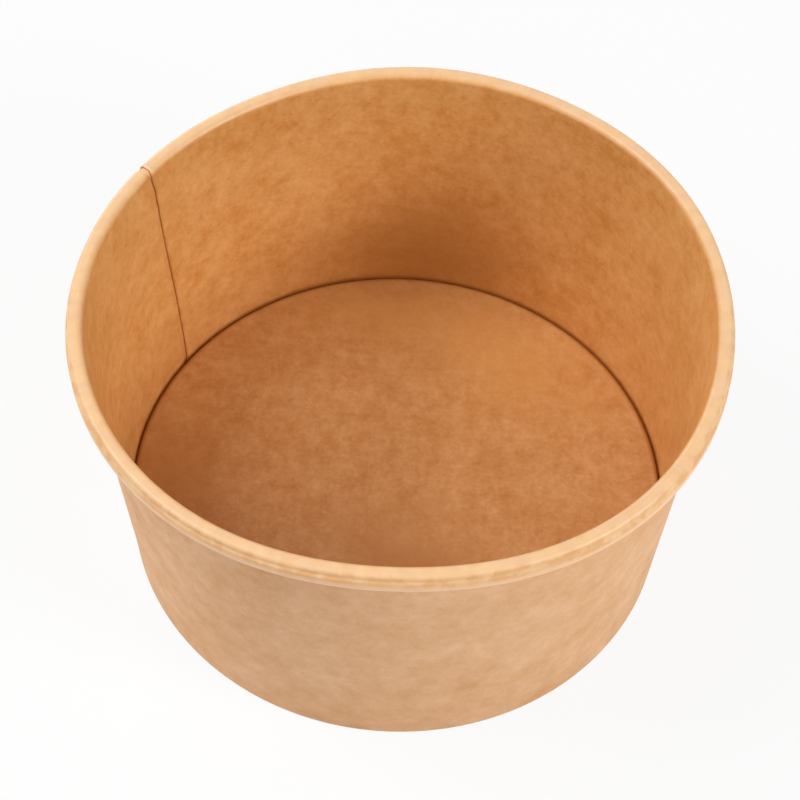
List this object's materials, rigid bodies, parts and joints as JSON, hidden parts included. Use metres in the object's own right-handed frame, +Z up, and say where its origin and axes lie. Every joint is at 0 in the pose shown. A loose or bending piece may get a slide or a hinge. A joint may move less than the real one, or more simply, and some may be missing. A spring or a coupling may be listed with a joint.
{
  "type": "paper salad bowl",
  "caption": "Round disposable bowl of kraft board: a conical wall with a rolled rim and a glued side seam, and a raised bottom disc, for salads and takeaway food.",
  "frame": {"origin": "centre of the ring that the bowl stands on, at the height of the table", "axes": "+Z up along the bowl's axis; the seam's visible edge is 148 degrees from +X towards +Y"},
  "size_m": [0.15, 0.15, 0.079],
  "materials": {
    "wall_board": "kraft board with fine fibres, satin coating inside and over the rim, matt outside",
    "base_board": "kraft board with fine fibres, satin coating on the upper face"
  },
  "bodies": {
    "root": {"side_wall": "wall_board", "base_disc": "base_board"}
  },
  "joints": []
}
